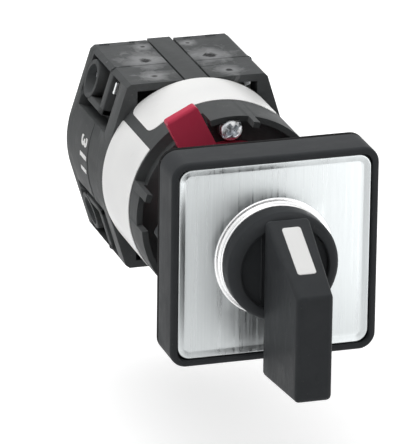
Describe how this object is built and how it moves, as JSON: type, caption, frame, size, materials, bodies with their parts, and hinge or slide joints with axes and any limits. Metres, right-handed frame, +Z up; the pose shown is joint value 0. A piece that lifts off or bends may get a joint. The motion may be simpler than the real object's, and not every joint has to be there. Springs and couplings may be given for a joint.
{
  "type": "rotary cam switch",
  "caption": "Panel-mounted rotary cam switch: square bezel, pointed grip handle, round base with red lock lever, six-sided contact block.",
  "frame": {"origin": "on the shaft axis, in the plane of the panel's front face, where the gasket behind the bezel ends", "axes": "+Y runs along the shaft from the handle through the panel to the rear cover, +Z is up, the handle faces -Y and +X is to the right seen from the front"},
  "size_m": [0.03, 0.0743, 0.0314],
  "materials": {
    "handle_black": "satin moulded",
    "white_plastic": "smooth",
    "shaft_steel": "drawn",
    "natural_plastic": "moulded",
    "bezel_black": "satin moulded",
    "brushed_plate": "brushed upright",
    "collar_bright": "polished",
    "seal_rubber": "matt",
    "base_grey": "moulded",
    "nut_black": "moulded",
    "lever_red": "moulded",
    "spring_steel": "drawn",
    "block_grey": "moulded",
    "contact_brass": "rolled",
    "zinc": "zinc plated",
    "white_label": "satin"
  },
  "bodies": {
    "body": {"bezel_frame": "bezel_black", "legend_plate": "brushed_plate", "collar_ring": "collar_bright", "shaft_seal": "seal_rubber", "panel_gasket": "seal_rubber", "head_bushing": "base_grey", "adaptor_ring": "bezel_black", "fixing_nut": "nut_black", "fixing_base": "base_grey", "index_spring_upper": "spring_steel", "index_spring_lower": "spring_steel", "stop_plate": "spring_steel", "front_shell": "block_grey", "rear_shell": "block_grey", "rear_cover": "block_grey", "strip_upper": "base_grey", "strip_lower": "base_grey", "contact_spring_upper": "spring_steel", "contact_spring_lower": "spring_steel", "fixed_contact_upper_left": "contact_brass", "fixed_contact_upper_right": "contact_brass", "fixed_contact_lower_left": "contact_brass", "fixed_contact_lower_right": "contact_brass", "terminal_washers": "zinc", "terminal_screws": "zinc", "tie_bolts": "zinc", "tie_nuts": "zinc", "label_top": "white_label", "label_side": "white_label"},
    "rotor": {"handle": "handle_black", "pointer_insert": "white_plastic", "drive_shaft": "shaft_steel", "index_boss": "natural_plastic", "stop_disc": "natural_plastic", "contact_cam": "natural_plastic"},
    "plunger_upper": {"plunger_upper": "natural_plastic", "bridge_upper": "contact_brass"},
    "plunger_lower": {"plunger_lower": "natural_plastic", "bridge_lower": "contact_brass"},
    "lock_lever": {"lock_lever": "lever_red"}
  },
  "joints": [
    {"name": "handle_turn", "type": "hinge", "parent": "body", "child": "rotor", "pos_m": [0, 0, 0], "axis": [0, 1, 0], "range_deg": [0, 60], "deforming": ["index_spring_upper", "index_spring_lower"]},
    {"name": "plunger_upper_slide", "type": "slide", "parent": "body", "child": "plunger_upper", "axis": [0, 0, -1], "range_m": [0, 0.00161], "deforming": ["contact_spring_upper"]},
    {"name": "plunger_lower_slide", "type": "slide", "parent": "body", "child": "plunger_lower", "axis": [0, 0, 1], "range_m": [0, 0.00161], "deforming": ["contact_spring_lower"]},
    {"name": "lock_lever_turn", "type": "hinge", "parent": "body", "child": "lock_lever", "pos_m": [0, 0, 0], "axis": [0, 1, 0], "range_deg": [-32, 0]}
  ],
  "couplings": [
    {"joint": "plunger_upper_slide", "follows": "handle_turn", "m_per_rad": 0.0015282},
    {"joint": "plunger_lower_slide", "follows": "handle_turn", "m_per_rad": 0.0015282}
  ]
}
